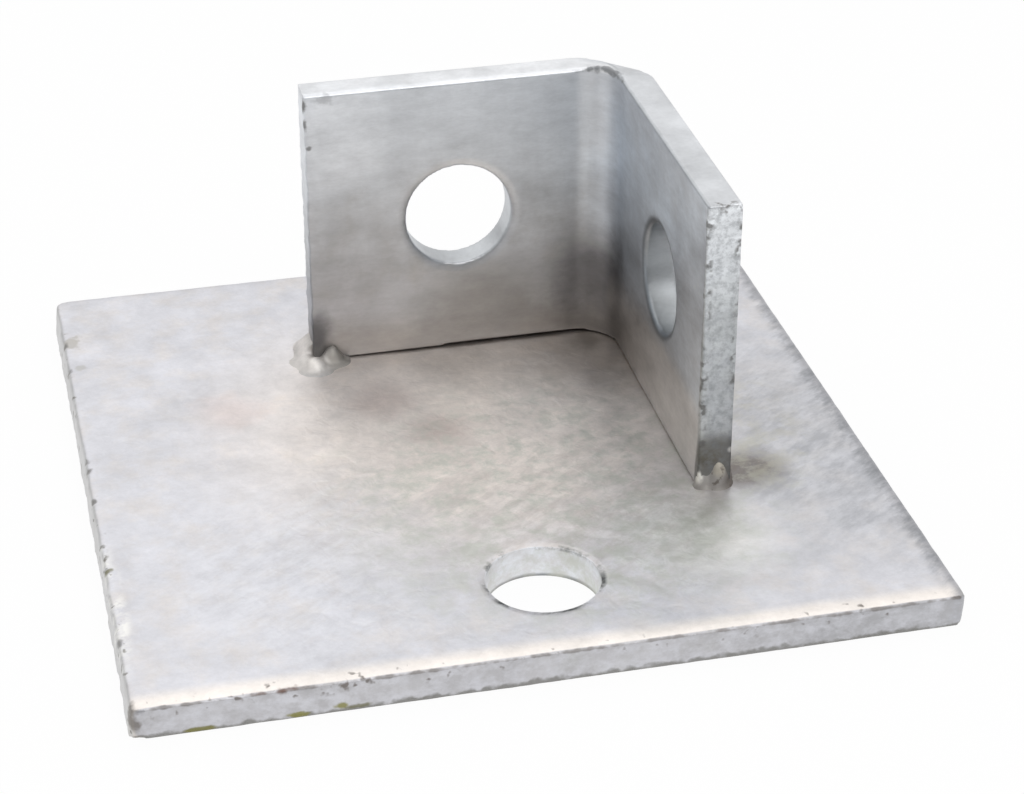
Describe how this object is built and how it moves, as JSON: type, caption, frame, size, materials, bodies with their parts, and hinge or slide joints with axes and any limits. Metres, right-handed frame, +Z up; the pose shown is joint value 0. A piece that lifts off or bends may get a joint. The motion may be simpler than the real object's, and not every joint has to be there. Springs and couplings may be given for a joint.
{
  "type": "channel base plate",
  "caption": "Square galvanised steel plate with an anchor hole and a bent strip welded upright on it, whose punched legs hold the foot of a strut channel.",
  "frame": {"origin": "on the underside, at the middle of the base plate", "axes": "+X to the right along the front edge, +Y to the back, +Z up out of the plate; the upright's inside corner opens towards -X and -Y"},
  "size_m": [0.1, 0.1, 0.0447],
  "materials": {
    "galvanised_plate": "hot-dip zinc coat, matt with a soft mottled spangle",
    "galvanised_strip": "hot-dip zinc coat, smoother and greyer than the plate",
    "galvanised_weld": "zinc-coated weld bead with bare, scaled patches"
  },
  "bodies": {
    "root": {"base_plate": "galvanised_plate", "corner_upright": "galvanised_strip", "weld_bead": "galvanised_weld"}
  },
  "joints": []
}
